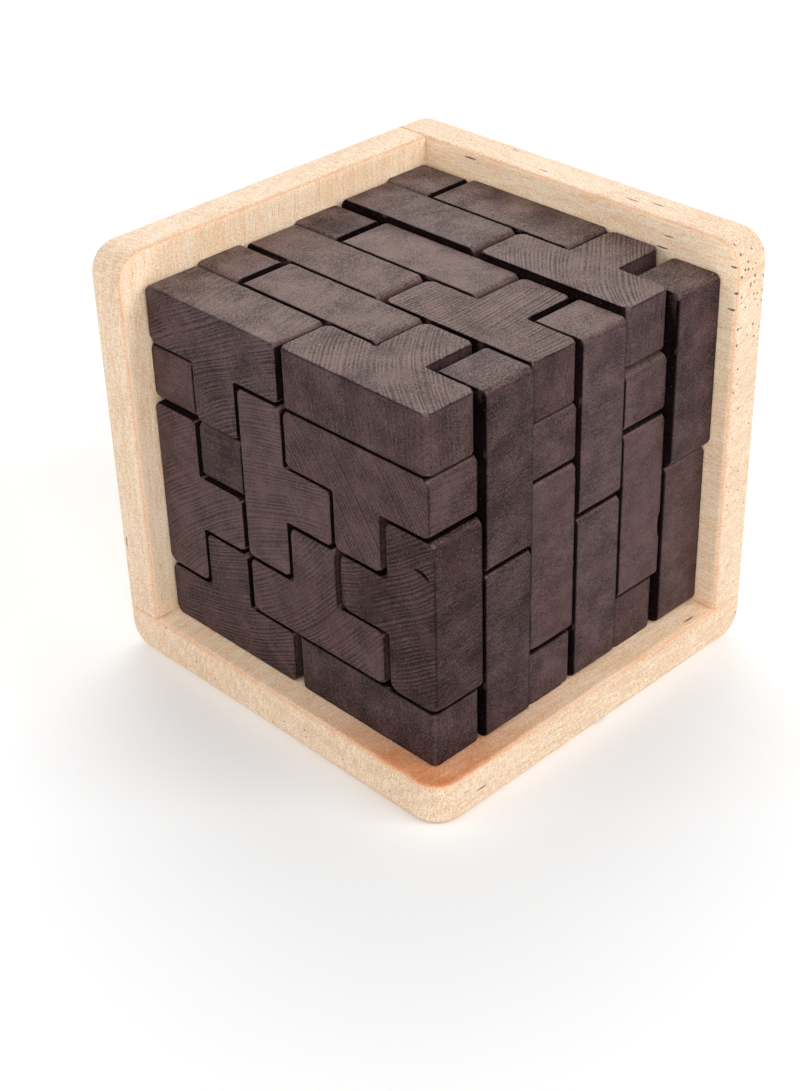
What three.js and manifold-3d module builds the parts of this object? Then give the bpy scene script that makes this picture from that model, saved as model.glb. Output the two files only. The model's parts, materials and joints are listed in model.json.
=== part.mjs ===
// A packing puzzle: 54 identical wooden T-blocks that fill a 6 x 6 x 6 cube,
// standing in a tray made of a floor and two walls. Millimetres, +Z up.
// The origin is at the middle of the tray's footprint, on the surface it stands on.
// The walls are on the -X and +Y sides; the tray is open towards +X, -Y and +Z.

import * as THREE from 'three';
import { mergeVertices } from 'three/addons/utils/BufferGeometryUtils.js';
import Module from 'manifold-3d';

const wasm = await Module();
wasm.setup();

// ---- driving dimensions ----
const TRAY = 71.1;             // outer size of the tray along X, Y and Z
const PANEL = 7.2;             // thickness of the floor and of the walls
const GLUE_GAP = 0.05;         // glue line between two panels
const FREE_CORNER = 4.6;       // radius of each panel's free corner
const BACK_EDGE = 4;           // radius where the floor meets a wall, outside
const SPINE_EDGE = 2.5;        // radius where the two walls meet, outside
const RIM_EDGE = 1.2;          // radius of the other outer corners
const CORNER_STEPS = 5;        // segments in each rounded corner

const CELLS = 6;               // cells along each side of the cube
const BLOCK = 9.7;             // thickness of a block, and width of its bar and stem
const PITCH = 10;              // cell spacing along X and Y
const LAYER = 9.8;             // cell spacing along Z, where the blocks lie on each other
const SEAT_GAP = 0.1;          // under the lowest layer
const LAYERS_PER_SLAB = 2;     // rows along Y that one slab of 18 blocks fills

const WOOD_DARK = { color: 0x4d4041, roughness: 0.72, metalness: 0 };
const WOOD_PALE = { color: 0xecd0a8, roughness: 0.62, metalness: 0 };

// The cube's corner at the -X wall, on the open -Y side, on the floor.
const CUBE_X = -TRAY / 2 + PANEL;
const CUBE_Y = TRAY / 2 - PANEL - CELLS * PITCH;
const CUBE_Z = PANEL + SEAT_GAP;

// ---- the packing ----
// One slab is two cells deep and holds 18 blocks. Each block is given by the cell in the
// middle of its bar (column, row, layer), the axis along the bar, and where the stem points.
const SLAB_BLOCKS = {
  top_left: { cell: [1, 0, 5], bar: 'x', stem: '-z' },
  top_right: { cell: [4, 0, 5], bar: 'x', stem: '+y' },
  top_rear: { cell: [2, 1, 5], bar: 'x', stem: '-z' },
  upper_right: { cell: [4, 0, 4], bar: 'x', stem: '-z' },
  upper_end_post: { cell: [5, 1, 4], bar: 'z', stem: '-x' },
  corner_post: { cell: [0, 1, 4], bar: 'z', stem: '-y' },
  centre_post: { cell: [2, 0, 3], bar: 'z', stem: '+x' },
  inner_post: { cell: [1, 1, 3], bar: 'z', stem: '-y' },
  rear_upper: { cell: [3, 1, 3], bar: 'x', stem: '+z' },
  left_post: { cell: [0, 0, 2], bar: 'z', stem: '+x' },
  right_post: { cell: [5, 0, 2], bar: 'z', stem: '-x' },
  rear_middle: { cell: [3, 1, 2], bar: 'x', stem: '-z' },
  lower_centre: { cell: [3, 0, 1], bar: 'x', stem: '+z' },
  lower_end_post: { cell: [5, 1, 1], bar: 'z', stem: '-x' },
  rear_left_post: { cell: [0, 1, 1], bar: 'z', stem: '+x' },
  bottom_left: { cell: [1, 0, 0], bar: 'x', stem: '+z' },
  bottom_right: { cell: [4, 0, 0], bar: 'x', stem: '+y' },
  rear_lower: { cell: [2, 1, 0], bar: 'x', stem: '+z' },
};
const SLABS = ['front', 'middle', 'back'];

// How far some blocks stand off their seat, as [x, y, z]: a hand-packed cube isn't even.
const STANDS_OFF = {
  front_top_right: [-0.3, 0, 0],
  front_upper_right: [-0.25, 0, 0],
  front_right_post: [0.35, 0, 0],
  front_upper_end_post: [0.6, 0, 0],
  front_lower_end_post: [0.45, 0, 0],
  middle_top_right: [0.15, 0, 0],
  middle_right_post: [-0.1, 0, 0],
  middle_upper_end_post: [0.2, 0, 0],
  back_upper_right: [0.2, 0, 0],
  back_upper_end_post: [1.2, 0, 0],
  back_lower_end_post: [0.25, 0, 0],
  back_bottom_right: [-0.3, 0, 0],
  back_top_left: [0, 0, 0.8],
  back_top_right: [0, 0, 0.8],
  back_top_rear: [0, 0, 0.8],
  back_corner_post: [0, 0, 0.8],
};

const AXES = {
  '+x': new THREE.Vector3(1, 0, 0),
  '-x': new THREE.Vector3(-1, 0, 0),
  '+y': new THREE.Vector3(0, 1, 0),
  '-y': new THREE.Vector3(0, -1, 0),
  '+z': new THREE.Vector3(0, 0, 1),
  '-z': new THREE.Vector3(0, 0, -1),
};

// ---- helpers ----
function toSolid(geometry) {
  const bare = geometry.clone();
  bare.deleteAttribute('normal');
  bare.deleteAttribute('uv');
  const merged = mergeVertices(bare);
  return new wasm.Manifold(new wasm.Mesh({
    numProp: 3,
    vertProperties: new Float32Array(merged.attributes.position.array),
    triVerts: new Uint32Array(merged.index.array),
  }));
}

function toGeometry(solid) {
  const mesh = solid.getMesh();
  const geometry = new THREE.BufferGeometry();
  geometry.setAttribute('position', new THREE.BufferAttribute(mesh.vertProperties, mesh.numProp));
  geometry.setIndex(new THREE.BufferAttribute(mesh.triVerts, 1));
  geometry.computeVertexNormals();
  return geometry;
}

function boxSolid(low, high) {
  const size = high.map((value, axis) => value - low[axis]);
  const geometry = new THREE.BoxGeometry(...size);
  geometry.translate(...low.map((value, axis) => value + size[axis] / 2));
  return toSolid(geometry);
}

// A square of side TRAY centred on the origin, with a radius for each corner in turn:
// (-,-), (+,-), (+,+), (-,+).
function roundedSquare(radii) {
  const half = TRAY / 2;
  const corners = [[-half, -half], [half, -half], [half, half], [-half, half]];
  const shape = new THREE.Shape();
  corners.forEach(([u, v], index) => {
    const radius = radii[index];
    const centreU = u - Math.sign(u) * radius;
    const centreV = v - Math.sign(v) * radius;
    const start = Math.PI + index * Math.PI / 2;
    for (let step = 0; step <= CORNER_STEPS; step += 1) {
      const angle = start + step / CORNER_STEPS * Math.PI / 2;
      const x = centreU + radius * Math.cos(angle);
      const y = centreV + radius * Math.sin(angle);
      if (index === 0 && step === 0) {
        shape.moveTo(x, y);
      } else {
        shape.lineTo(x, y);
      }
    }
  });
  shape.closePath();
  return shape;
}

function extrudedTray(radii) {
  const geometry = new THREE.ExtrudeGeometry(roundedSquare(radii), {
    depth: TRAY,
    bevelEnabled: false,
  });
  geometry.translate(0, 0, -TRAY / 2);
  return geometry;
}

// ---- the tray ----
// The outer form shared by the panels: three extrusions, seen from above, from the -Y
// side and from the +X side, cut down to what they have in common.
function trayOuterForm() {
  const fromAbove = extrudedTray([RIM_EDGE, FREE_CORNER, RIM_EDGE, SPINE_EDGE]);
  const fromFront = extrudedTray([BACK_EDGE, RIM_EDGE, FREE_CORNER, RIM_EDGE]);
  fromFront.rotateX(Math.PI / 2);
  const fromSide = extrudedTray([RIM_EDGE, BACK_EDGE, RIM_EDGE, FREE_CORNER]);
  fromSide.rotateX(Math.PI / 2);
  fromSide.rotateZ(Math.PI / 2);
  const form = toSolid(fromAbove).intersect(toSolid(fromFront)).intersect(toSolid(fromSide));
  return form.translate([0, 0, TRAY / 2]);
}

function trayPanels() {
  const half = TRAY / 2;
  const form = trayOuterForm();
  const wallFoot = PANEL + GLUE_GAP;
  const regions = {
    tray_floor: boxSolid([-half, -half, 0], [half, half, PANEL]),
    tray_left_wall: boxSolid(
      [-half, -half, wallFoot],
      [-half + PANEL, half - PANEL - GLUE_GAP, TRAY],
    ),
    tray_right_wall: boxSolid([-half, half - PANEL, wallFoot], [half, half, TRAY]),
  };
  return Object.entries(regions).map(([name, region]) => {
    const mesh = new THREE.Mesh(
      toGeometry(form.intersect(region)),
      new THREE.MeshStandardMaterial(WOOD_PALE),
    );
    mesh.name = name;
    return mesh;
  });
}

// ---- the blocks ----
// A T-block about the middle of its bar: the bar lies along X, the stem points along +Y,
// and the thickness is centred on Z.
function blockGeometry() {
  const half = BLOCK / 2;
  const reach = 3 * half;
  const outline = new THREE.Shape([
    new THREE.Vector2(-reach, -half),
    new THREE.Vector2(reach, -half),
    new THREE.Vector2(reach, half),
    new THREE.Vector2(half, half),
    new THREE.Vector2(half, reach),
    new THREE.Vector2(-half, reach),
    new THREE.Vector2(-half, half),
    new THREE.Vector2(-reach, half),
  ]);
  const geometry = new THREE.ExtrudeGeometry(outline, { depth: BLOCK, bevelEnabled: false });
  geometry.translate(0, 0, -half);
  return geometry;
}

function blockMesh(name, { cell, bar, stem }, slab) {
  const mesh = new THREE.Mesh(blockGeometry(), new THREE.MeshStandardMaterial(WOOD_DARK));
  mesh.name = name;
  const along = AXES[`+${bar}`];
  const towards = AXES[stem];
  const across = new THREE.Vector3().crossVectors(along, towards);
  const turn = new THREE.Matrix4().makeBasis(along, towards, across);
  mesh.setRotationFromMatrix(turn);
  const [column, row, layer] = cell;
  const [offX, offY, offZ] = STANDS_OFF[name.replace(/_block$/, '')] ?? [0, 0, 0];
  mesh.position.set(
    CUBE_X + (column + 0.5) * PITCH + offX,
    CUBE_Y + (row + slab * LAYERS_PER_SLAB + 0.5) * PITCH + offY,
    CUBE_Z + (layer + 0.5) * LAYER - (LAYER - BLOCK) / 2 + offZ,
  );
  return mesh;
}

// ---- the puzzle ----
const puzzle = new THREE.Group();
puzzle.add(...trayPanels());
SLABS.forEach((slabName, slab) => {
  Object.entries(SLAB_BLOCKS).forEach(([place, block]) => {
    puzzle.add(blockMesh(`${slabName}_${place}_block`, block, slab));
  });
});

export default puzzle;
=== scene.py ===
import json
import math
import random

import bpy
import numpy as np
from mathutils import Matrix, Vector, noise

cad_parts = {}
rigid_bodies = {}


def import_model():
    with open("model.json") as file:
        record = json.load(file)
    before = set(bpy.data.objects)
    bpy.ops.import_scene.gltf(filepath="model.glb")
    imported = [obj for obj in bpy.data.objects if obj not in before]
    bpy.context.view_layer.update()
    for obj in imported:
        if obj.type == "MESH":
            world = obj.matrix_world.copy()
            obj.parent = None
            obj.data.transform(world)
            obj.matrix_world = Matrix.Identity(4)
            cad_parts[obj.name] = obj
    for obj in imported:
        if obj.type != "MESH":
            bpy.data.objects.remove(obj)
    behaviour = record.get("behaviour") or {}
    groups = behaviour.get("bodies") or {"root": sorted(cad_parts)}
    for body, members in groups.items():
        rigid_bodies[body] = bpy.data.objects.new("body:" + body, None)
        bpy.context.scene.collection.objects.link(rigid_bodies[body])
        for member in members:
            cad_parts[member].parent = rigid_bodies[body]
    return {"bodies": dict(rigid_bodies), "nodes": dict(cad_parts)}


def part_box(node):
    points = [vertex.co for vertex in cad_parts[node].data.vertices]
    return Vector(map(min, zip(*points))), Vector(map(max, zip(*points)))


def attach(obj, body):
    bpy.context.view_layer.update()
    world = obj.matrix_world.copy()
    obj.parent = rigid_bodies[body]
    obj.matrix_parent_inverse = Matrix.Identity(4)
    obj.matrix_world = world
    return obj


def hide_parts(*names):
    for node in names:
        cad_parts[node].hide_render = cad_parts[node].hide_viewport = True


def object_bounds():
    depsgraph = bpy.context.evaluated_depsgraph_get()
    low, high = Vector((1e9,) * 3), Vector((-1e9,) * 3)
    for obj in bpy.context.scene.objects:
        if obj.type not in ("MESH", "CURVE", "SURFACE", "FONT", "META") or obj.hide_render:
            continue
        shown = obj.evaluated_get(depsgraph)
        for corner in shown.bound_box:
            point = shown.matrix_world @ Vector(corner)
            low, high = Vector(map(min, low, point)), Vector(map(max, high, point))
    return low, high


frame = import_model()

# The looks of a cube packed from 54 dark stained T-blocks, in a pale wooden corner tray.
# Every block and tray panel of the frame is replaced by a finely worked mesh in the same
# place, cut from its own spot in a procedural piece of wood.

MM = 0.001
TINY = 1e-7
cad_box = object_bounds()

# ---- sizes taken from the frame ----
TRAY_LOW, TRAY_HIGH = cad_box

# ---- T-blocks ----
CORNER_RADIUS = (0.95 * MM, 1.4 * MM)    # outer corners of the T, from crisp to worn
NOTCH_RADIUS = 0.25 * MM                 # the two inner corners beside the stem
CORNER_STEPS = 6                         # segments in each outer corner
NOTCH_STEPS = 3
EDGE_STEP = 0.8 * MM                     # spacing of points along the straight sides
CHIPPED_STEP = 0.4 * MM                  # the same, on blocks with chipped edges
CUT_EDGE = 0.17 * MM                     # rounding where the saw cut the T faces
CORNER_WEAR = 0.22 * MM                  # more rounding there at the T's outer corners
WEAR_FADE = 0.3 * MM                     # how far the worn colour with its painted highlight, and the painted seam shade, fade in from an edge
SHRINK = (0.07 * MM, 0.14 * MM)          # a block's sides stand in by this much
SIDE_LEVELS = (0.55, 0.0, -0.55)         # rings on the sides, as shares of half a thickness
# The low and high corners of a T's bar and of its stem, in half thicknesses.
BAR_AND_STEM = (((-3, -1, -1), (3, 1, 1)), ((-1, 1, -1), (1, 3, 1)))
PROBE_OUT = 0.8 * MM                     # how far in front of a face its neighbour is sought
PROBE_IN = 1.5 * MM                      # and how far in from the edge of a T face
PROBE_SHARE = 0.6                        # or towards the middle of a side
PITH_DISTANCE = (45 * MM, 120 * MM)      # from a block to the middle of the tree's rings
POLISHED_SHARE = 0.4                     # of the T faces, with light edges, not dark ones
POLISHED_WEAR = -0.8
FIBRE_TILT = math.radians(5)             # how far a block's fibres may lean
TRUNK_HEIGHT = (0, 900)                  # where along its tree it is cut, in millimetres
FIGURE_SPREAD = (0.6, 1.2)               # how much fainter or clearer plain figure may be
LIGHTNESS = (0.2, 0.8)                   # from dark to light, unless STAIN says how light
WARMTH = (0.0, 0.5)
BLOCK_SEED = 1000                        # plus the block's place in the sorted list

# Blocks whose year rings show, with the way that the stripes run over the T face.
STRIPES = {
    "front_upper_right": (1.0, 0.0, -1.25),
    "front_top_right": (1.0, -1.05, 0.0),
    "middle_top_right": (0.0, 1.0, 0.0),
    "back_top_rear": (0.1, 1.0, 0.0),
    "back_top_right": (1.0, -1.0, 0.0),
    "front_top_left": (1.0, 0.0, 0.5),
    "front_left_post": (1.0, 0.0, 0.8),
    "front_centre_post": (1.0, 0.0, 0.35),
    "front_lower_centre": (1.0, 0.0, 0.9),
    "front_right_post": (1.0, 0.0, 0.6),
    "front_bottom_left": (1.0, 0.0, 0.3),
}
# Blocks that took up more or less of the stain than most: 0 is dark, 1 is light.
STAIN = {
    "front_right_post": 0.0,
    "front_upper_end_post": 0.2,
    "front_lower_end_post": 0.25,
    "front_bottom_right": 0.25,
    "front_bottom_left": 0.4,
    "front_lower_centre": 0.6,
    "front_left_post": 0.85,
    "front_centre_post": 0.95,
    "middle_right_post": 0.75,
    "middle_lower_end_post": 0.7,
    "back_right_post": 1.0,
    "back_upper_right": 0.8,
}
KNOTTED = "front_right_post"                     # the block with a knot mark on its -Y face
KNOT_PLACE = Vector((29.2 * MM, 0, 40.7 * MM))   # its middle, in the frame (X and Z)
KNOT_RUN = Vector((0.97, 0, -0.24))              # the way along it
FAR_OFF = 99.0                                   # the knot attribute of the other blocks
STRONG_FIGURE = 1.0          # how clearly the rings show on the blocks in STRIPES
PLAIN_FIGURE = 0.5           # and on the others
SIDE_FIGURE = 0.35           # how much of it is left on a block's sides

# Blocks with chipped edges, and how many chips each has. The others have one or none.
CHIPPED = {
    "middle_right_post": 9,
    "middle_bottom_right": 8,
    "back_right_post": 4,
    "front_right_post": 2,
}
CHIP_RADIUS = (0.4 * MM, 1.1 * MM)
CHIP_DEPTH = (0.10 * MM, 0.30 * MM)

# ---- tray ----
FREE_CORNER = 4.6 * MM       # radius of each panel's free corner
BACK_EDGE = 4 * MM           # where the floor meets a wall, outside
SPINE_EDGE = 2.5 * MM        # where the two walls meet, outside
RIM_EDGE = 1.2 * MM          # other outer edges
INNER_EDGE = 0.8 * MM        # edge between a rim and the inside of the tray
GLUE_EDGE = 0.07 * MM        # edge beside a glue line
GRID_STEP = 1.0 * MM         # spacing of a panel's mesh away from its edges
EDGE_GRID_STEP = 0.2 * MM    # the same, over a rounded edge
ARRIS_SHADE = 0.6         # how much painted orange shade lies along the edge on the inside
CORNER_SHADE_REACH = 24 * MM     # how far the patch of painted orange shade reaches from the floor's free corner
OPEN_VESSELS = 0.07          # share of the vessels that are open on most of the tray
END_VESSELS = 0.85           # how many more at the free end of the right wall,
END_REACH = 4 * MM           # within this distance of that end.
END_FOOT = 45 * MM           # They thin out down the wall, to none this far below its top,
END_FADE = 40 * MM           # over this height,
END_LEAST = 0.15             # but never to less than this share of them.
RIM_VESSELS = {"right top": 0.12, "floor end": 0.10, "floor front": 0.05, "left front": 0.06}
PANEL_PITH = (35, 60)        # from a panel to the middle of its rings, in millimetres
PANEL_HEIGHT = (0, 600)      # where along its tree it is cut, in millimetres
TRAY_SEED = 77


# ---- node helpers ----
class Shader:
    """A material's node tree, built one step at a time."""

    def __init__(self, name):
        self.material = bpy.data.materials.new(name)
        self.material.use_nodes = True
        self.tree = self.material.node_tree
        self.tree.nodes.clear()

    def node(self, kind, inputs=None, **settings):
        made = self.tree.nodes.new(kind)
        for key, value in settings.items():
            setattr(made, key, value)
        for key, value in (inputs or {}).items():
            if isinstance(value, bpy.types.NodeSocket):
                self.tree.links.new(value, made.inputs[key])
            else:
                made.inputs[key].default_value = value
        return made

    def attribute(self, name, output="Vector"):
        return self.node("ShaderNodeAttribute", attribute_name=name).outputs[output]

    def math(self, operation, a, b=0.0, c=0.0):
        made = self.node("ShaderNodeMath", {0: a, 1: b, 2: c}, operation=operation)
        return made.outputs[0]

    def vector(self, operation, a, b):
        made = self.node("ShaderNodeVectorMath", {0: a, 1: b}, operation=operation)
        return made.outputs["Vector"]

    def length(self, a):
        return self.node("ShaderNodeVectorMath", {0: a}, operation="LENGTH").outputs["Value"]

    def split(self, a):
        return self.node("ShaderNodeSeparateXYZ", {0: a}).outputs

    def noise(self, vector, scale, detail, roughness=0.5):
        inputs = {"Vector": vector, "Scale": scale, "Detail": detail, "Roughness": roughness}
        return self.node("ShaderNodeTexNoise", inputs).outputs["Fac"]

    def noise_line(self, w, scale, detail):
        inputs = {"W": w, "Scale": scale, "Detail": detail}
        made = self.node("ShaderNodeTexNoise", inputs, noise_dimensions="1D")
        return made.outputs["Fac"]

    def cells(self, vector, scale):
        return self.node("ShaderNodeTexVoronoi", {"Vector": vector, "Scale": scale})

    def remap(self, value, low, high, to_low=0.0, to_high=1.0, curve="SMOOTHSTEP"):
        inputs = {"Value": value, "From Min": low, "From Max": high,
                  "To Min": to_low, "To Max": to_high}
        return self.node("ShaderNodeMapRange", inputs, interpolation_type=curve).outputs[0]

    def mix(self, share, a, b):
        made = self.node("ShaderNodeMix", {0: share, 6: a, 7: b}, data_type="RGBA")
        return made.outputs[2]

    def bump(self, height, distance, strength):
        inputs = {"Height": height, "Distance": distance, "Strength": strength}
        return self.node("ShaderNodeBump", inputs).outputs["Normal"]

    def surface(self, **inputs):
        bsdf = self.node("ShaderNodeBsdfPrincipled", inputs)
        self.node("ShaderNodeOutputMaterial", {"Surface": bsdf.outputs["BSDF"]})
        return self.material


def srgb(red, green, blue):
    """A colour given as 0 to 255 in sRGB, as the linear colour that a node takes."""
    def linear(value):
        value = value / 255
        return value / 12.92 if value <= 0.04045 else ((value + 0.055) / 1.055) ** 2.4
    return (linear(red), linear(green), linear(blue), 1.0)


# ---- colours ----
STAINED_DARK = srgb(2, 1, 1)
STAINED_LIGHT = srgb(93, 72, 73)
STAINED_RED = srgb(62, 34, 34)           # patches
STAINED_WARM = srgb(74, 42, 30)          # what a warm block leans to
# worn edges of the blocks, with a painted highlight
WORN_EDGE_AND_HIGHLIGHT = srgb(108, 88, 84)
# painted shade: the dark line along the seams between the blocks
PAINTED_SEAM_SHADE = srgb(14, 8, 8)
PAINTED_GAP_SHADE = srgb(3, 1, 1)           # painted shade on the faces against another piece
# painted sheen on the upward faces
PAINTED_TOP_SHEEN = srgb(184, 157, 142)
MOTE = srgb(170, 150, 142)
KNOT_MARK = srgb(6, 3, 3)
# The broad faces are lighter and more orange than the rims: partly the wood's own, the rims being
# sanded cut edges, and partly painted light that lifts the shade the blocks cast on the inside of
# the tray.
PALE_FACE = (srgb(240, 194, 150), srgb(255, 240, 216))   # a panel's broad faces, dark and light
PALE_RIM = (srgb(209, 173, 141), srgb(236, 216, 190))    # and its narrow rims
# painted shade, deep orange, on the tray's inside edges and round the floor's free corner
PAINTED_WARM_SHADE = srgb(200, 106, 34)
PALE_WORN = srgb(248, 230, 196)
FINE_VESSEL = srgb(186, 128, 88)
OPEN_VESSEL = srgb(84, 56, 38)


# ---- materials ----
# Both woods read the same mesh attributes:
#   grain  where each point lies in its tree, in millimetres: Z along the fibres, and the
#          middle of the year rings on the Z axis
#   wear   0 on the open faces to 1 on the worn edges, or to -1 on a block's sawn edges. On
#          a block the worn edges also get a painted highlight, and the sawn edges painted seam
#          shade
#   look   on a block: X how clearly the rings show, Y how light it is, Z how warm
# The blocks also have:
#   dust   1 on the faces that look up and aren't covered; they get the painted sheen of
#          the light above, and more of the pale motes
#   sealed 1 on the faces that lie against another piece in the imported cube, which get
#          painted shade for the gaps between the pieces
#   depth  how far in each point is from the cube's three open sides, in millimetres
#   knot   how far each point is from the knot mark, in millimetres: X along the mark, Y
#          across it, Z into the wood. It is far off on the blocks that have none.
def dark_wood():
    s = Shader("dark stained wood")
    grain = s.attribute("grain")
    wear = s.attribute("wear", "Fac")
    dust_and_sheen = s.attribute("dust_and_sheen", "Fac")
    depth = s.split(s.attribute("depth"))
    nearest = s.math("MINIMUM", s.math("MINIMUM", depth[0], depth[1]), depth[2])
    shallow = s.remap(nearest, 4.5, 2.5, 0.3, 1.0)
    gap_shade = s.math("MULTIPLY", s.attribute("gap_shade", "Fac"), shallow)
    look = s.split(s.attribute("look"))
    figure, lightness, warmth = look[0], look[1], look[2]

    # Year rings, bent a little by slow noise, clear in some places and lost in others.
    bend = s.noise(grain, 0.05, 1.0)
    across = s.vector("MULTIPLY", grain, (1.0, 1.0, 0.0))
    radius = s.math("MULTIPLY_ADD", bend, 3.0, s.length(across))
    spacing = s.math("MULTIPLY", s.noise_line(radius, 0.6, 1.0), 9.0)
    rings = s.math("SINE", s.math("MULTIPLY_ADD", radius, 10.0, spacing))
    strength = s.noise_line(radius, 1.1, 1.0)
    clear = s.remap(s.noise(grain, 0.18, 2.0), 0.36, 0.6)
    stripes = s.math("MULTIPLY", rings, s.math("MULTIPLY", strength, 0.34))
    stripes = s.math("MULTIPLY", stripes, s.math("MULTIPLY_ADD", clear, 0.9, 0.25))
    stripes = s.math("MULTIPLY", stripes, figure)

    # Fibres, pores and the speckle of the stain.
    along = s.vector("MULTIPLY", grain, (1.0, 1.0, 0.16))
    fibres = s.noise(along, 3.0, 2.0, 0.6)
    speckle = s.noise(grain, 3.9, 1.0, 0.7)
    pores = s.remap(s.cells(along, 3.0).outputs["Distance"], 0.12, 0.28)
    patches = s.noise(grain, 0.22, 3.0, 0.5)
    motes = s.remap(s.cells(grain, 0.95).outputs["Distance"], 0.11, 0.07)

    tone = s.math("MULTIPLY_ADD", stripes, 5.8, 0.5)
    tone = s.math("ADD", tone, s.math("MULTIPLY_ADD", fibres, 2.2, -1.1))
    tone = s.math("ADD", tone, s.math("MULTIPLY_ADD", speckle, 7.6, -3.8))
    tone = s.math("ADD", tone, s.math("MULTIPLY_ADD", patches, 4.4, -2.2))
    tone = s.math("ADD", tone, s.math("MULTIPLY_ADD", lightness, 2.0, -1.0))
    tone = s.math("ADD", tone, s.math("MULTIPLY_ADD", pores, 0.8, -0.7))

    colour = s.mix(s.remap(tone, -1.5, 2.5, curve="LINEAR"), STAINED_DARK, STAINED_LIGHT)
    red_patch = s.remap(s.noise(grain, 0.45, 2.0), 0.42, 0.7)
    colour = s.mix(s.math("MULTIPLY", red_patch, 0.35), colour, STAINED_RED)
    colour = s.mix(s.math("MULTIPLY", warmth, 0.35), colour, STAINED_WARM)
    # Wear is above 0 on the worn corners, which get the worn colour and a painted highlight, and
    # below 0 on the sawn edges, which get a dark line of painted shade for the seams between
    # blocks.
    uneven = s.remap(s.noise(grain, 1.3, 2.0), 0.35, 0.65, 0.35, 1.0)
    worn_and_highlight = s.math("MULTIPLY", s.remap(wear, 0.1, 1.0), uneven)
    colour = s.mix(s.math("MULTIPLY", worn_and_highlight, 0.6), colour, WORN_EDGE_AND_HIGHLIGHT)
    seam_shade = s.math("MULTIPLY", s.remap(wear, -0.3, -1.0),
                   s.math("MULTIPLY_ADD", uneven, 0.45, 0.35))
    colour = s.mix(seam_shade, colour, PAINTED_SEAM_SHADE)
    # Painted shade: the faces that lie against another piece are made near black and matt, for
    # the shade in the gaps between the pieces, most of all near the outside of the cube.
    colour = s.mix(s.math("MULTIPLY", gap_shade, 0.85), colour, PAINTED_GAP_SHADE)
    # Painted sheen: a pale grey layer on the upward faces for the light that they catch from
    # above, less on the dark stripes and in the pores.
    top_sheen = s.math("MULTIPLY", dust_and_sheen, s.remap(tone, -1.0, 2.0, 0.03, 0.225))
    colour = s.mix(top_sheen, colour, PAINTED_TOP_SHEEN)
    colour = s.mix(s.math("MULTIPLY", motes, s.math("MULTIPLY_ADD", dust_and_sheen, 0.5, 0.15)),
                   colour, MOTE)

    # One block has a small dark crescent, the trace of a knot.
    knot = s.split(s.attribute("knot"))
    bow = s.math("MULTIPLY_ADD", s.math("POWER", knot[0], 2.0), 0.16, knot[1])
    thick = s.math("MULTIPLY_ADD", knot[0], 0.1, 0.3)
    inside = s.node("ShaderNodeCombineXYZ", {0: s.math("DIVIDE", knot[0], 1.5),
                                             1: s.math("DIVIDE", bow, thick), 2: knot[2]})
    crescent = s.remap(s.length(inside.outputs["Vector"]), 1.3, 0.8)
    colour = s.mix(s.math("MULTIPLY", crescent, 0.95), colour, KNOT_MARK)
    matt = s.math("MAXIMUM", gap_shade, crescent)

    height = s.math("ADD", s.math("MULTIPLY", speckle, 0.8), s.math("MULTIPLY", stripes, 0.6))
    height = s.math("ADD", height, s.math("MULTIPLY", pores, 0.35))
    height = s.math("ADD", height, s.math("MULTIPLY", fibres, 0.4))
    rough = s.math("MULTIPLY_ADD", speckle, 0.25, 0.40)
    rough = s.math("MULTIPLY_ADD", worn_and_highlight, -0.08, rough)
    return s.surface(**{
        "Base Color": colour,
        "Roughness": rough,
        "Specular IOR Level": s.math("MULTIPLY_ADD", matt, -0.11, 0.12),
        "Specular Tint": (1.0, 0.88, 0.87, 1.0),
        "Normal": s.bump(height, 0.06 * MM, 0.7),
    })


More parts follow.
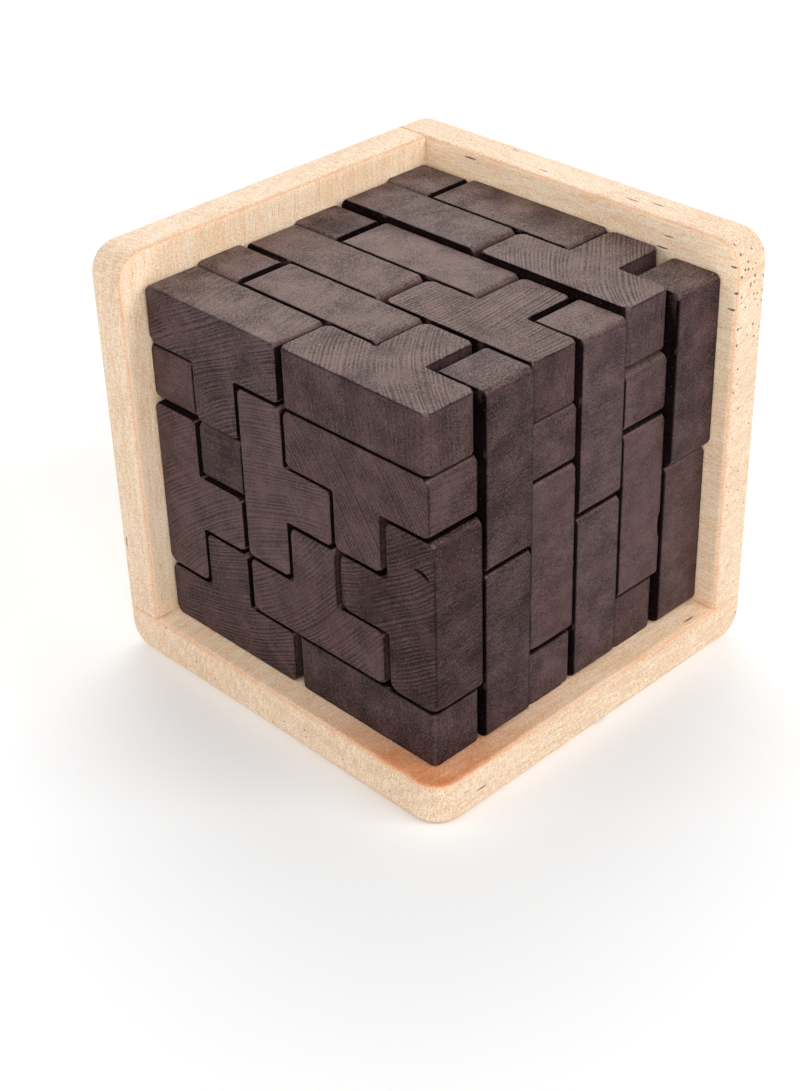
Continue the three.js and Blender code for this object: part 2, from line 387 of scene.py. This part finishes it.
def pale_wood():
    """look here: X on a panel's narrow rim, Y how many vessels are open, Z how much painted
    orange shade it has.
    """
    s = Shader("pale sanded wood")
    grain = s.attribute("grain")
    wear = s.attribute("wear", "Fac")
    look = s.split(s.attribute("look"))
    rim, open_vessels, warm_shade = look[0], look[1], look[2]

    bend = s.noise(grain, 0.035, 2.0)
    across = s.vector("MULTIPLY", grain, (1.0, 1.0, 0.0))
    radius = s.math("MULTIPLY_ADD", bend, 14.0, s.length(across))
    rings = s.noise_line(radius, 0.6, 3.0)
    fibres = s.noise(s.vector("MULTIPLY", grain, (1.0, 1.0, 0.06)), 3.2, 3.0, 0.65)
    streaks = s.noise(s.vector("MULTIPLY", grain, (1.0, 1.0, 0.025)), 0.8, 3.0, 0.6)
    strokes = s.noise(s.vector("MULTIPLY", grain, (0.12, 1.0, 1.0)), 3.6, 2.0, 0.6)
    speckle = s.noise(grain, 4.6, 1.0, 0.7)
    patches = s.noise(grain, 0.09, 2.0, 0.5)

    tone = s.math("MULTIPLY_ADD", rings, 0.35, 0.33)
    tone = s.math("ADD", tone, s.math("MULTIPLY_ADD", fibres, 1.1, -0.55))
    tone = s.math("ADD", tone, s.math("MULTIPLY_ADD", streaks, 0.5, -0.25))
    tone = s.math("ADD", tone, s.math("MULTIPLY_ADD", speckle, 2.2, -1.1))
    tone = s.math("ADD", tone, s.math("MULTIPLY_ADD", patches, 0.5, -0.25))
    stroke_tone = s.math("MULTIPLY", rim, s.math("MULTIPLY_ADD", strokes, 1.3, -0.65))
    tone = s.math("ADD", tone, stroke_tone)

    # Broad faces and rims have their own palettes; the broad faces' palette is partly painted
    # light, lifting the shade inside the tray.
    face = s.mix(s.remap(tone, 0.0, 1.0), *PALE_FACE)
    cream = s.mix(s.remap(tone, 0.0, 1.0), *PALE_RIM)
    colour = s.mix(rim, face, cream)
    # Painted shade, deep orange, along the inside edges and over the floor round its free corner,
    # less on the light parts of the grain.
    here = s.remap(s.noise(grain, 0.2, 2.0), 0.4, 0.6, 0.85, 1.0)
    warm_shade_share = s.math("MULTIPLY", here, s.remap(tone, 1.2, -0.2, 0.7, 1.0))
    warm_shade_share = s.math("MULTIPLY", warm_shade, warm_shade_share)
    colour = s.mix(warm_shade_share, colour, PAINTED_WARM_SHADE)
    colour = s.mix(s.math("MULTIPLY", wear, 0.2), colour, PALE_WORN)

    # Vessels: long thin tubes along the fibres, dots where they are cut across. Only some
    # of the larger ones are open and dark.
    tubes = s.vector("MULTIPLY", grain, (1.0, 1.0, 0.12))
    fine = s.remap(s.cells(tubes, 2.2).outputs["Distance"], 0.26, 0.12)
    colour = s.mix(s.math("MULTIPLY", fine, 0.32), colour, FINE_VESSEL)
    vessels = s.cells(tubes, 0.95)
    chosen = s.math("LESS_THAN", s.split(vessels.outputs["Color"])[0], open_vessels)
    size = s.math("MULTIPLY_ADD", open_vessels, 0.13, 0.16)
    core = s.math("MULTIPLY", size, 0.6)
    dark = s.math("MULTIPLY", chosen, s.remap(vessels.outputs["Distance"], size, core))
    colour = s.mix(s.math("MULTIPLY", dark, 0.85), colour, OPEN_VESSEL)

    height = s.math("ADD", s.math("MULTIPLY", fibres, 0.7), s.math("MULTIPLY", speckle, 0.5))
    height = s.math("SUBTRACT", height, s.math("MULTIPLY", dark, 1.2))
    rough = s.math("MULTIPLY_ADD", fibres, 0.2, 0.5)
    return s.surface(**{
        "Base Color": colour,
        "Roughness": rough,
        "Specular IOR Level": 0.35,
        "Normal": s.bump(height, 0.05 * MM, 0.6),
    })


# ---- mesh helpers ----
def weighted_normals(mesh):
    """Gives each vertex the mean normal of its faces, by area, so that flat faces look flat."""
    corners = np.zeros(len(mesh.loops), np.int32)
    mesh.loops.foreach_get("vertex_index", corners)
    normals = np.zeros(len(mesh.polygons) * 3)
    mesh.polygons.foreach_get("normal", normals)
    areas = np.zeros(len(mesh.polygons))
    mesh.polygons.foreach_get("area", areas)
    counts = np.zeros(len(mesh.polygons), np.int32)
    mesh.polygons.foreach_get("loop_total", counts)
    per_face = normals.reshape(-1, 3) * areas[:, None]
    per_corner = np.repeat(per_face, counts, axis=0)
    total = np.zeros((len(mesh.vertices), 3))
    np.add.at(total, corners, per_corner)
    total /= np.linalg.norm(total, axis=1)[:, None]
    mesh.shade_smooth()
    mesh.normals_split_custom_set_from_vertices(total)
    return total


def set_attribute(mesh, name, values):
    """Stores one number or one vector for each vertex."""
    values = np.asarray(values, np.float32)
    if values.ndim == 1:
        mesh.attributes.new(name, "FLOAT", "POINT").data.foreach_set("value", values)
    else:
        made = mesh.attributes.new(name, "FLOAT_VECTOR", "POINT")
        made.data.foreach_set("vector", values.ravel())


def place_in_tree(points, fibre, inwards, pith, along):
    """The points in millimetres in their tree: Z along the fibres, rings around the Z axis.
    inwards is the way to the pith, pith its distance, along the height in the trunk."""
    z = Vector(fibre).normalized()
    x = Vector(inwards)
    x = (x - z * x.dot(z)).normalized()
    y = z.cross(x)
    turn = np.array([x, y, z])
    return (np.asarray(points) @ turn.T + np.array([-pith, 0.0, along])) / MM


def finished_piece(name, points, faces, material, body, node):
    """Makes the object, hangs it on its body and hides the frame's part that it stands for.
    Also returns the normal at each vertex."""
    mesh = bpy.data.meshes.new(name)
    mesh.from_pydata([tuple(p) for p in points], [], faces)
    mesh.materials.append(material)
    normals = weighted_normals(mesh)
    piece = bpy.data.objects.new(name, mesh)
    bpy.context.scene.collection.objects.link(piece)
    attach(piece, body)
    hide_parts(node)
    return piece, normals


# ---- the blocks ----
def block_axes(node):
    """A matrix from a block's own axes to the frame, and half its thickness. The origin is
    in the middle of the bar, X runs along the bar, Y towards the stem, Z through it."""
    corners = np.array([v.co for v in node.data.vertices], float)
    corners = np.unique(corners.round(6), axis=0)
    middle = corners.mean(axis=0)
    axes = np.linalg.eigh(np.cov((corners - middle).T))[1]
    across, stem, bar = (Vector(axes[:, i]) for i in range(3))
    if max(bar, key=abs) < 0:
        bar = -bar
    centred = (corners - middle) @ np.array([bar, stem, across]).T
    half = np.abs(centred[:, 2]).max()
    stem_end = centred[centred[:, 1] > centred[:, 1].max() - half / 2]
    if np.abs(stem_end[:, 0]).max() > 2 * half:
        stem = -stem
        centred[:, 1] *= -1
    across = bar.cross(stem)
    origin = Vector(middle) + stem * (centred[:, 1].min() + half)
    matrix = Matrix((bar, stem, across)).transposed().to_4x4()
    matrix.translation = origin
    return matrix, half


def t_outline(half, radii, step):
    """Points round the T anticlockwise, as (x, y, normal x, normal y, cornerness)."""
    reach = 3 * half
    corners = [(-reach, -half), (reach, -half), (reach, half), (half, half),
               (half, reach), (-half, reach), (-half, half), (-reach, half)]
    notches = (3, 6)
    count = len(corners)
    arcs = []
    for i in range(count):
        here = Vector(corners[i])
        into = (here - Vector(corners[i - 1])).normalized()
        right = Vector((into.y, -into.x))
        notch = i in notches
        radius = NOTCH_RADIUS if notch else radii[i]
        steps = NOTCH_STEPS if notch else CORNER_STEPS
        side = -1 if notch else 1
        centre = here - into * radius - right * radius * side
        arc = []
        for k in range(steps + 1):
            angle = math.pi / 2 * k / steps
            normal = right * math.cos(angle) + into * math.sin(angle) * side
            point = centre + normal * radius * side
            bulge = 0.0 if notch else math.sin(2 * angle)
            arc.append((point.x, point.y, normal.x, normal.y, bulge))
        arcs.append(arc)
    outline = []
    for i, arc in enumerate(arcs):
        outline += arc
        start = Vector(arc[-1][:2])
        end = Vector(arcs[(i + 1) % count][0][:2])
        pieces = max(2, math.ceil((end - start).length / step))
        for k in range(1, pieces):
            point = start.lerp(end, k / pieces)
            outline.append((point.x, point.y, arc[-1][2], arc[-1][3], 0.0))
    return outline


def block_mesh(half, rng, chips, step):
    """Vertices (in the block's own axes), faces, wear and probes of one T-block. A vertex
    has two probes: points a little in front of the faces that it belongs to."""
    radii = [rng.uniform(*CORNER_RADIUS) for _ in range(8)]
    shrink = rng.uniform(*SHRINK)
    outline = t_outline(half, radii, step)
    ripple = Vector((rng.uniform(0, 90), rng.uniform(0, 90), rng.uniform(0, 90)))
    bend = 1 - math.sqrt(0.5)
    # Each row is a, b, c, d, how much the edge is worn (worn colour and painted highlight) or
    # darkened with painted seam shade there, whether the ring is on a T face, and whether it is
    # on the sides. Its height is half a thickness less edge * a and WEAR_FADE * b, and it stands
    # in by edge * c + WEAR_FADE * d.
    profile = [(0, 0, 1, 1, 0.0, True, False), (0, 0, 1, 0, 0.4, True, False),
               (bend, 0, bend, 0, 0.9, True, True),
               (1, 0, 0, 0, 1.0, False, True), (1, 1, 0, 0, 0.2, False, True)]
    rings = [(1, row) for row in profile]
    rings += [(share, None) for share in SIDE_LEVELS]
    rings += [(-1, row) for row in reversed(profile)]
    polished = {sign: rng.random() < POLISHED_SHARE for sign in (1, -1)}
    points = []
    wear = []
    probes = []
    for sign, row in rings:
        for x, y, nx, ny, corner in outline:
            soft = noise.noise(Vector((x, y, sign * half)) / MM * 0.6 + ripple)
            edge = CUT_EDGE * (1 + 0.45 * soft) + CORNER_WEAR * corner
            if row is None:
                height = half * sign
                inset = 0.0
                wear_and_seam_shade = 0.0
                on_cap, on_side = False, True
            else:
                a, b, c, d, wear_and_seam_shade, on_cap, on_side = row
                if polished[sign] and c:
                    wear_and_seam_shade *= POLISHED_WEAR
                height = sign * (half - edge * a - WEAR_FADE * b)
                inset = edge * c + WEAR_FADE * d
            inset += shrink
            height *= 1 - shrink * 0.6 / half
            points.append(Vector((x - nx * inset, y - ny * inset, height)))
            wear.append(corner * max(wear_and_seam_shade, 0.5) - wear_and_seam_shade * (1 - corner))
            top = math.copysign(half + PROBE_OUT, sign)
            above = (x - nx * PROBE_IN, y - ny * PROBE_IN, top)
            beside = (x + nx * PROBE_OUT, y + ny * PROBE_OUT, height * PROBE_SHARE)
            probes.append((above if on_cap else beside, beside if on_side else above))
    count = len(outline)
    faces = [tuple(range(count)), tuple(reversed(range(len(points) - count, len(points))))]
    for ring in range(len(rings) - 1):
        start = ring * count
        for i in range(count):
            j = (i + 1) % count
            faces.append((start + i, start + count + i, start + count + j, start + j))
    for _ in range(chips):
        chip_away(points, wear, outline, half, rng)
    return points, faces, wear, probes


def chip_away(points, wear, outline, half, rng):
    """Knocks one small chip out of an edge of the T."""
    x, y, nx, ny, _ = outline[rng.randrange(len(outline))]
    side = rng.choice((-1, 1))
    middle = Vector((x, y, side * half))
    radius = rng.uniform(*CHIP_RADIUS)
    depth = rng.uniform(*CHIP_DEPTH)
    inwards = Vector((-nx, -ny, -side)).normalized()
    stretch = rng.uniform(1.0, 2.2)
    along = Vector((-ny, nx, 0))
    for i in range(len(outline), len(points) - len(outline)):
        point = points[i]
        away = point - middle
        far = away - along * away.dot(along) * (1 - 1 / stretch)
        share = 1 - (far.length / radius) ** 2
        if share > 0:
            points[i] = point + inwards * depth * math.sqrt(share)
            wear[i] = max(wear[i], 0.5 * share)


def solid_boxes(block_places):
    """One box for each tray panel, and two for each block: its bar and its stem."""
    solids = [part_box(name) for name in PANELS]
    for matrix, half in block_places:
        for low, high in BAR_AND_STEM:
            ends = matrix @ (Vector(low) * half), matrix @ (Vector(high) * half)
            solids.append((np.min(ends, axis=0), np.max(ends, axis=0)))
    return np.array(solids)


def inside_any(places, solids):
    """For each place, whether it is inside one of the boxes."""
    over = (places[:, None, :] > solids[None, :, 0]).all(axis=2)
    under = (places[:, None, :] < solids[None, :, 1]).all(axis=2)
    return (over & under).any(axis=1)


def against_others(probes, matrix, solids):
    """1 for each vertex with a probe inside a solid, 0 for the rest."""
    turn = np.array(matrix.to_3x3())
    hidden = [inside_any(side @ turn.T + np.array(matrix.translation), solids)
              for side in np.array(probes).transpose(1, 0, 2)]
    return np.maximum(*hidden).astype(float)


def depth_in_cube(placed, solids):
    """How far in each point is from the cube's three open sides, in millimetres."""
    blocks = solids[len(PANELS):]
    open_sides = (blocks[:, 1, 0].max(), blocks[:, 0, 1].min(), blocks[:, 1, 2].max())
    return np.abs(np.array([tuple(p) for p in placed]) - open_sides) / MM


def from_knot(placed):
    """How far each point is from the knot mark, in millimetres: along it, across it and into
    the block from its -Y face."""
    across = Vector((-KNOT_RUN.z, 0, KNOT_RUN.x))
    away = [p - KNOT_PLACE for p in placed]
    front = min(p.y for p in placed)
    return np.array([(a.dot(KNOT_RUN), a.dot(across), a.y - front) for a in away]) / MM


def make_block(body, node_name, index, place, solids, material):
    rng = random.Random(BLOCK_SEED + index)
    matrix, half = place
    chips = CHIPPED.get(body, rng.choice((0, 0, 1)))
    step = CHIPPED_STEP if body in CHIPPED else EDGE_STEP
    points, faces, wear, probes = block_mesh(half, rng, chips, step)

    lean = Vector((rng.uniform(-1, 1), rng.uniform(-1, 1), 0)) * math.tan(FIBRE_TILT)
    fibre = Vector((0, 0, 1)) + lean
    angle = rng.uniform(0, 2 * math.pi)
    inwards = Vector((math.cos(angle), math.sin(angle), 0))
    figure = PLAIN_FIGURE * rng.uniform(*FIGURE_SPREAD)
    if body in STRIPES:
        run = matrix.to_3x3().transposed() @ Vector(STRIPES[body])
        inwards = Vector((-run.y, run.x, 0))
        figure = STRONG_FIGURE
    pith = rng.uniform(*PITH_DISTANCE)
    along = rng.uniform(*TRUNK_HEIGHT) * MM
    grain = place_in_tree([tuple(p) for p in points], fibre, inwards, pith, along)
    lightness = rng.uniform(*LIGHTNESS)
    lightness = STAIN.get(body, lightness)
    warmth = rng.uniform(*WARMTH)

    placed = [matrix @ p for p in points]
    piece, normals = finished_piece(f"{body}_wooden_t", placed, faces, material, body,
                                    node_name)
    set_attribute(piece.data, "grain", grain)
    set_attribute(piece.data, "wear", wear)
    # Painted shade goes on the faces against other pieces, and painted sheen on the upward faces
    # that aren't covered.
    gap_shade = against_others(probes, matrix, solids)
    set_attribute(piece.data, "gap_shade", gap_shade)
    set_attribute(piece.data, "dust_and_sheen", np.clip(normals[:, 2] * 2 - 1, 0, 1) * (1 - gap_shade))
    set_attribute(piece.data, "depth", depth_in_cube(placed, solids))
    knot = from_knot(placed) if body == KNOTTED else np.full((len(placed), 3), FAR_OFF)
    set_attribute(piece.data, "knot", knot)
    through = np.abs(normals @ np.array(matrix.col[2][:3]))
    look = np.tile((figure, lightness, warmth), (len(points), 1))
    look[:, 0] *= SIDE_FIGURE + (1 - SIDE_FIGURE) * np.clip(2 * through - 1, 0, 1)
    set_attribute(piece.data, "look", look)


# ---- the tray ----
def axis_stops(low, high, low_edge, high_edge, step):
    """Grid lines from low to high: close together over each rounded edge."""
    stops = [low, high]
    for end, inwards, edge in ((low, 1, low_edge), (high, -1, high_edge)):
        fine = max(2, round(edge / EDGE_GRID_STEP))
        stops += [end + inwards * edge * k / fine for k in range(1, fine + 1)]
    inner_low, inner_high = low + low_edge, high - high_edge
    steps = max(1, math.ceil((inner_high - inner_low) / step))
    stops += [inner_low + (inner_high - inner_low) * k / steps for k in range(1, steps)]
    return sorted(set(round(s, 8) for s in stops))


def box_grid(stops):
    """Points and faces of a box whose six sides are ruled at the given stops."""
    index = {}
    points = []
    faces = []
    sizes = [len(s) for s in stops]

    def at(i, j, k):
        key = (i, j, k)
        if key not in index:
            index[key] = len(points)
            points.append((stops[0][i], stops[1][j], stops[2][k]))
        return index[key]

    for axis in range(3):
        u, v = (axis + 1) % 3, (axis + 2) % 3
        for end in (0, sizes[axis] - 1):
            for a in range(sizes[u] - 1):
                for b in range(sizes[v] - 1):
                    quad = []
                    for da, db in ((0, 0), (1, 0), (1, 1), (0, 1)):
                        key = [0, 0, 0]
                        key[axis], key[u], key[v] = end, a + da, b + db
                        quad.append(at(*key))
                    faces.append(tuple(quad if end else reversed(quad)))
    return np.array(points), faces


def round_rims(points, plane, low, high, rims):
    """Rounds the edges between a panel's outline and its two broad faces, and returns how
    near each point is to the middle of an edge of the low face and of the high face, from 0
    to 1. rims gives, for each side (axis, end) of the outline, the radius at both faces."""
    wear = np.zeros((len(points), 2))
    square = points.copy()
    depth = np.zeros((len(points), 2))
    for (axis, end), radii in rims.items():
        side = high[axis] if end else low[axis]
        for n, point in enumerate(square):
            inset = abs(side - point[axis])
            for face, radius in enumerate(radii):
                surface = high[plane] if face else low[plane]
                below = abs(surface - point[plane])
                if inset >= radius or below >= radius:
                    continue
                a, b = radius - inset, radius - below
                scale = max(a, b) / math.hypot(a, b)
                moved = radius - a * scale
                points[n][axis] = side - moved if end else side + moved
                depth[n][face] = max(depth[n][face], radius - b * scale)
                if min(inset, below) < TINY:
                    wear[n][face] = max(wear[n][face], 1 - abs(inset - below) / radius)
    for face, surface in enumerate((low[plane], high[plane])):
        sunk = depth[:, face] > 0
        points[sunk, plane] = surface + (depth[sunk, face] if face == LOW else -depth[sunk, face])
    return wear


def round_corner(points, low, high, first, second, radius):
    """Turns the square corner between two sides, each (axis, end), into an arc. What lies
    inside the corner follows, so an edge that is already rounded stays so."""
    (u, u_end), (v, v_end) = first, second
    su = 1 if u_end else -1
    sv = 1 if v_end else -1
    centre_u = (high[u] if u_end else low[u]) - su * radius
    centre_v = (high[v] if v_end else low[v]) - sv * radius
    for point in points:
        a = (point[u] - centre_u) * su
        b = (point[v] - centre_v) * sv
        if a > 0 and b > 0:
            scale = max(a, b) / math.hypot(a, b)
            point[u] = centre_u + su * a * scale
            point[v] = centre_v + sv * b * scale


X, Y, Z = 0, 1, 2
LOW, HIGH = 0, 1
OUTER_LOW = (RIM_EDGE, INNER_EDGE)       # a rim on a panel whose low face is outside
OUTER_HIGH = (INNER_EDGE, RIM_EDGE)
GLUED = (GLUE_EDGE, GLUE_EDGE)

# For each panel: the axis through its thickness, its rims, its rounded corners, the way its
# fibres run and the way to the middle of its year rings.
PANELS = {
    "tray_floor": (
        Z,
        {(X, LOW): (0, GLUE_EDGE), (X, HIGH): OUTER_LOW,
         (Y, LOW): OUTER_LOW, (Y, HIGH): (0, GLUE_EDGE)},
        [((X, HIGH), (Y, LOW), FREE_CORNER), ((X, LOW), (Y, LOW), RIM_EDGE),
         ((X, HIGH), (Y, HIGH), RIM_EDGE), ((X, LOW), (Y, HIGH), SPINE_EDGE),
         ((X, LOW), (Z, LOW), BACK_EDGE), ((Y, HIGH), (Z, LOW), BACK_EDGE)],
        (0.02, 1.0, 0.0), (0.25, 0.0, 1.0),
    ),
    "tray_left_wall": (
        X,
        {(Y, LOW): OUTER_LOW, (Y, HIGH): GLUED, (Z, LOW): GLUED, (Z, HIGH): OUTER_LOW},
        [((Y, LOW), (Z, HIGH), FREE_CORNER)],
        (0.0, 0.03, 1.0), (1.0, 0.3, 0.0),
    ),
    "tray_right_wall": (
        Y,
        {(X, LOW): (GLUE_EDGE, 0), (X, HIGH): OUTER_HIGH, (Z, LOW): GLUED, (Z, HIGH): OUTER_HIGH},
        [((X, HIGH), (Z, HIGH), FREE_CORNER), ((X, LOW), (Z, HIGH), RIM_EDGE),
         ((X, LOW), (Y, HIGH), SPINE_EDGE)],
        (1.0, 0.0, 0.03), (0.0, 1.0, 0.5),
    ),
}


def vessel_share(name, points, low, high):
    """The share of the vessels that are open at each point. Most are where the panels' end
    grain was cut through, at the free corner of the right wall above all."""
    x, y, z = points.T
    share = np.full(len(points), OPEN_VESSELS)
    if name == "tray_right_wall":
        past = np.clip((x - high[X] + END_REACH) / END_REACH, 0, 1)
        raised = np.clip((z - high[Z] + END_FOOT) / END_FADE, END_LEAST, 1)
        share += END_VESSELS * past * raised
        share += RIM_VESSELS["right top"] * (z > high[Z] - RIM_EDGE)
    if name == "tray_floor":
        at_end = RIM_VESSELS["floor end"] * (x > high[X] - RIM_EDGE)
        share += at_end + RIM_VESSELS["floor front"] * (y < low[Y] + RIM_EDGE)
    if name == "tray_left_wall":
        share += RIM_VESSELS["left front"] * (y < low[Y] + RIM_EDGE)
    return share


def make_panel(name, material, rng):
    plane, rims, corners, fibre, inwards = PANELS[name]
    low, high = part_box(name)
    stops = []
    for axis in range(3):
        fine = [RIM_EDGE, RIM_EDGE]
        for end in (LOW, HIGH):
            if (axis, end) in rims and max(rims[(axis, end)]) <= GLUE_EDGE:
                fine[end] = GLUE_EDGE
        stops.append(axis_stops(low[axis], high[axis], fine[LOW], fine[HIGH], GRID_STEP))
    points, faces = box_grid(stops)
    on_rim = np.zeros(len(points))
    for axis, end in rims:
        side = high[axis] if end else low[axis]
        on_rim[np.abs(points[:, axis] - side) < TINY] = 1.0
    wear = round_rims(points, plane, low, high, rims)
    for first, second, radius in corners:
        round_corner(points, low, high, first, second, radius)
    # Painted orange shade along the edge between the rims and the inside, and in a patch on the
    # floor's broad faces round its free corner.
    inside = LOW if name == "tray_right_wall" else HIGH
    warm_shade = ARRIS_SHADE * wear[:, inside]
    if name == "tray_floor":
        near = np.hypot(points[:, X] - high[X], points[:, Y] - low[Y]) - INNER_EDGE
        warm_shade = np.maximum(warm_shade, np.exp(-(near / CORNER_SHADE_REACH) ** 2) * (1 - on_rim))

    piece, _ = finished_piece(f"{name}_panel", points, faces, material, "tray", name)
    grain = place_in_tree(points, fibre, inwards, rng.uniform(*PANEL_PITH) * MM,
                          rng.uniform(*PANEL_HEIGHT) * MM)
    set_attribute(piece.data, "grain", grain)
    set_attribute(piece.data, "wear", wear.max(axis=1))
    vessels = vessel_share(name, points, low, high)
    set_attribute(piece.data, "look", np.column_stack((on_rim, vessels, warm_shade)))


def make_tray(material):
    rng = random.Random(TRAY_SEED)
    for name in PANELS:
        make_panel(name, material, rng)


# ---- studio ----
CAMERA_PLACE = Vector((190.24, -188.98, 191.87)) * MM
CAMERA_AZIMUTH = math.radians(46.34)      # from behind the -Y side, turned towards +X
CAMERA_ELEVATION = math.radians(33.04)
CAMERA_ROLL = math.radians(-1.79)
SENSOR = 36.0
FOCAL = 89.18                             # millimetres, for a picture 36 mm wide
CLIP = (0.01, 20)                         # metres
WORLD_LIGHT = 0.42
# For each softbox: its place from the middle of the tray and its size, both in metres, and
# its power in watts.
SOFTBOXES = {
    "softbox_back": ((-0.42, 0.44, 0.40), (0.8, 0.6), 3.6),
    "softbox_front": ((0.80, -0.80, 0.72), (1.0, 1.0), 8.9),
    "softbox_left": ((-0.40, -0.80, 0.50), (0.6, 0.6), 2.2),
    "softbox_right": ((0.80, 0.35, 0.60), (0.6, 0.6), 5.2),
}
STUDIO_FLOOR = 3                          # metres from the middle to a side


def make_camera():
    forward = Vector((
        -math.sin(CAMERA_AZIMUTH) * math.cos(CAMERA_ELEVATION),
        math.cos(CAMERA_AZIMUTH) * math.cos(CAMERA_ELEVATION),
        -math.sin(CAMERA_ELEVATION),
    ))
    level = forward.cross(Vector((0, 0, 1))).normalized()
    upright = level.cross(forward)
    right = level * math.cos(CAMERA_ROLL) + upright * math.sin(CAMERA_ROLL)
    up = upright * math.cos(CAMERA_ROLL) - level * math.sin(CAMERA_ROLL)
    data = bpy.data.cameras.new("camera")
    data.sensor_fit = "HORIZONTAL"
    data.sensor_width = SENSOR
    data.lens = FOCAL
    data.clip_start, data.clip_end = CLIP
    camera = bpy.data.objects.new("camera", data)
    camera.matrix_world = Matrix((right, up, -forward)).transposed().to_4x4()
    camera.location = CAMERA_PLACE
    bpy.context.scene.collection.objects.link(camera)
    bpy.context.scene.camera = camera


def softbox(name, place, aim, size, power):
    data = bpy.data.lights.new(name, "AREA")
    data.shape = "RECTANGLE"
    data.size, data.size_y = size
    data.energy = power
    lamp = bpy.data.objects.new(name, data)
    lamp.location = place
    direction = Vector(aim) - Vector(place)
    lamp.rotation_mode = "QUATERNION"
    lamp.rotation_quaternion = direction.to_track_quat("-Z", "Y")
    bpy.context.scene.collection.objects.link(lamp)


def make_studio():
    scene = bpy.context.scene
    scene.view_settings.view_transform = "Standard"
    world = bpy.data.worlds.new("studio")
    world.use_nodes = True
    background = world.node_tree.nodes["Background"]
    background.inputs["Color"].default_value = (1, 1, 1, 1)
    background.inputs["Strength"].default_value = WORLD_LIGHT
    scene.world = world

    middle = (TRAY_LOW + TRAY_HIGH) / 2
    for name, (place, size, power) in SOFTBOXES.items():
        softbox(name, middle + Vector(place), middle, size, power)

    corners = [(-1, -1), (1, -1), (1, 1), (-1, 1)]
    points = [(STUDIO_FLOOR * x, STUDIO_FLOOR * y, TRAY_LOW.z) for x, y in corners]
    mesh = bpy.data.meshes.new("floor")
    mesh.from_pydata(points, [], [(0, 1, 2, 3)])
    floor = bpy.data.objects.new("floor", mesh)
    s = Shader("studio floor")
    mesh.materials.append(s.surface(**{"Base Color": (0.9, 0.9, 0.9, 1.0), "Roughness": 0.8}))
    scene.collection.objects.link(floor)


make_camera()
make_studio()
blocks = sorted(name for name in frame["bodies"] if name != "tray")
dark = dark_wood()
places = {body: block_axes(frame["nodes"][f"{body}_block"]) for body in blocks}
solids = solid_boxes(places.values())
for index, body in enumerate(blocks):
    make_block(body, f"{body}_block", index, places[body], solids, dark)
make_tray(pale_wood())
